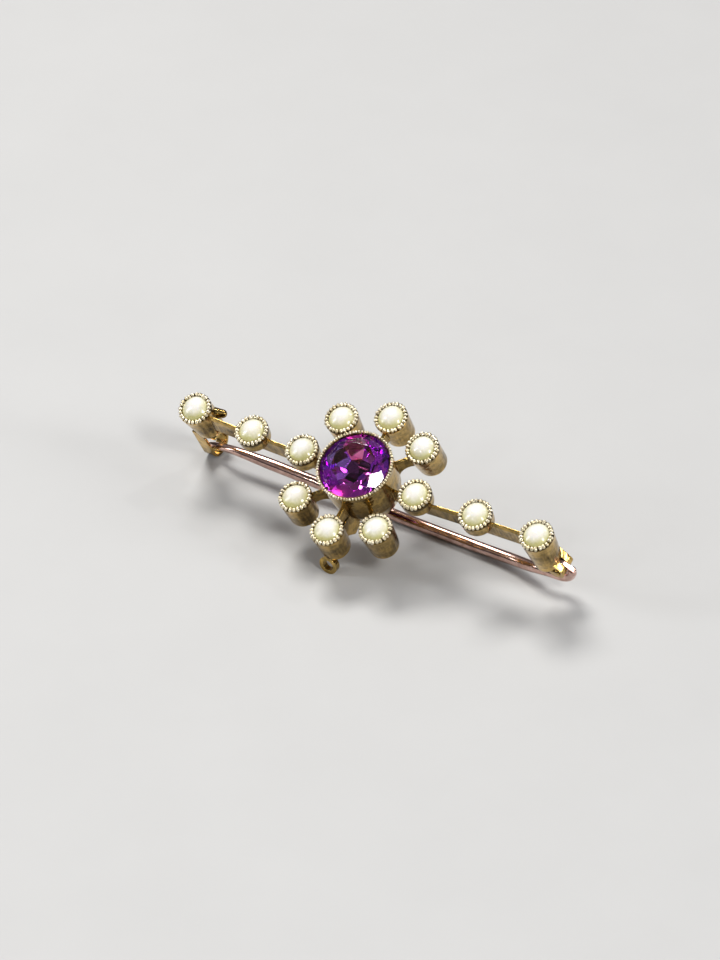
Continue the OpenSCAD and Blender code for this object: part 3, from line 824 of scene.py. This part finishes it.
def add_sky():
    """A dim sky, palest at about 37 degrees up."""
    world = bpy.data.worlds.new("studio")
    bpy.context.scene.world = world
    world.use_nodes = True
    tree = world.node_tree
    tree.nodes.clear()
    direction = node(tree, "ShaderNodeTexCoord").outputs["Generated"]
    height = node(tree, "ShaderNodeSeparateXYZ", {"Vector": direction}).outputs["Z"]
    light = node(tree, "ShaderNodeBackground", {"Color": ramp(tree, height, SKY), "Strength": 1.0})
    node(tree, "ShaderNodeOutputWorld", {"Surface": light.outputs["Background"]})


def add_lamp(name, spot, size, watts, colour):
    """A soft rectangular light that faces the jewel."""
    lamp = bpy.data.lights.new(name, "AREA")
    lamp.shape = "RECTANGLE"
    lamp.size, lamp.size_y = size
    lamp.energy = watts
    lamp.color = colour
    made = bpy.data.objects.new(name, lamp)
    made.location = spot
    made.rotation_euler = (Vector(spot) - LAMPS_FACE).to_track_quat("Z", "Y").to_euler()
    bpy.context.scene.collection.objects.link(made)


def add_camera(stage):
    """The camera, turned about the jewel by its azimuth and elevation."""
    level, up = math.cos(stage.elevation), math.sin(stage.elevation)
    x, y = math.cos(stage.azimuth), math.sin(stage.azimuth)
    right = Vector((x, y, 0))
    back = Vector((y * level, -x * level, up))
    look = Matrix((right, back.cross(right), back)).transposed().to_4x4()
    lens = bpy.data.cameras.new("camera")
    lens.lens = stage.lens
    lens.clip_start = 0.01
    camera = bpy.data.objects.new("camera", lens)
    roll = Matrix.Rotation(stage.roll, 4, "Z")
    camera.matrix_world = Matrix.Translation(CAMERA_FACES + back * stage.distance) @ look @ roll
    bpy.context.scene.collection.objects.link(camera)
    bpy.context.scene.camera = camera


class BROOCH_OT_stage(bpy.types.Operator):
    """Sets the pale floor, the soft lights and the camera"""

    bl_idname = "brooch.stage"
    bl_label = "Stage"

    def execute(self, context):
        stage = context.scene.brooch_stage
        add_floor(stage.floor_colour)
        add_sky()
        for lamp in LAMPS:
            add_lamp(*lamp)
        context.scene.view_settings.view_transform = "Standard"
        add_camera(stage)
        return {"FINISHED"}


class BROOCH_PT_panel(bpy.types.Panel):
    """Lists the steps that dress the brooch"""

    bl_label = "Bar brooch"
    bl_idname = "BROOCH_PT_panel"
    bl_space_type = "VIEW_3D"
    bl_region_type = "UI"
    bl_category = "Brooch"

    def draw(self, context):
        layout = self.layout
        for key in BroochSettings.__annotations__:
            layout.prop(context.scene.brooch, key)
        for step in STEPS:
            layout.operator(step.bl_idname)
        for key in StageSettings.__annotations__:
            layout.prop(context.scene.brooch_stage, key)


STEPS = (BROOCH_OT_gold, BROOCH_OT_pearl_rims, BROOCH_OT_stone_rim, BROOCH_OT_half_pearls,
         BROOCH_OT_amethyst, BROOCH_OT_pin, BROOCH_OT_stage)
CLASSES = (BroochSettings, StageSettings, *STEPS, BROOCH_PT_panel)


def register():
    """Adds the settings, the steps and the panel."""
    for cls in CLASSES:
        bpy.utils.register_class(cls)
    bpy.types.Scene.brooch = PointerProperty(type=BroochSettings)
    bpy.types.Scene.brooch_stage = PointerProperty(type=StageSettings)


def unregister():
    """Takes the panel, the steps and the settings out again."""
    del bpy.types.Scene.brooch
    del bpy.types.Scene.brooch_stage
    for cls in reversed(CLASSES):
        bpy.utils.unregister_class(cls)


def main():
    """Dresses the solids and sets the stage."""
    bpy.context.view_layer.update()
    register()
    bpy.ops.brooch.gold()
    bpy.ops.brooch.pearl_rims()
    bpy.ops.brooch.stone_rim()
    bpy.ops.brooch.half_pearls()
    bpy.ops.brooch.amethyst()
    bpy.ops.brooch.pin()
    bpy.ops.brooch.stage()


if __name__ == "__main__":
    main()
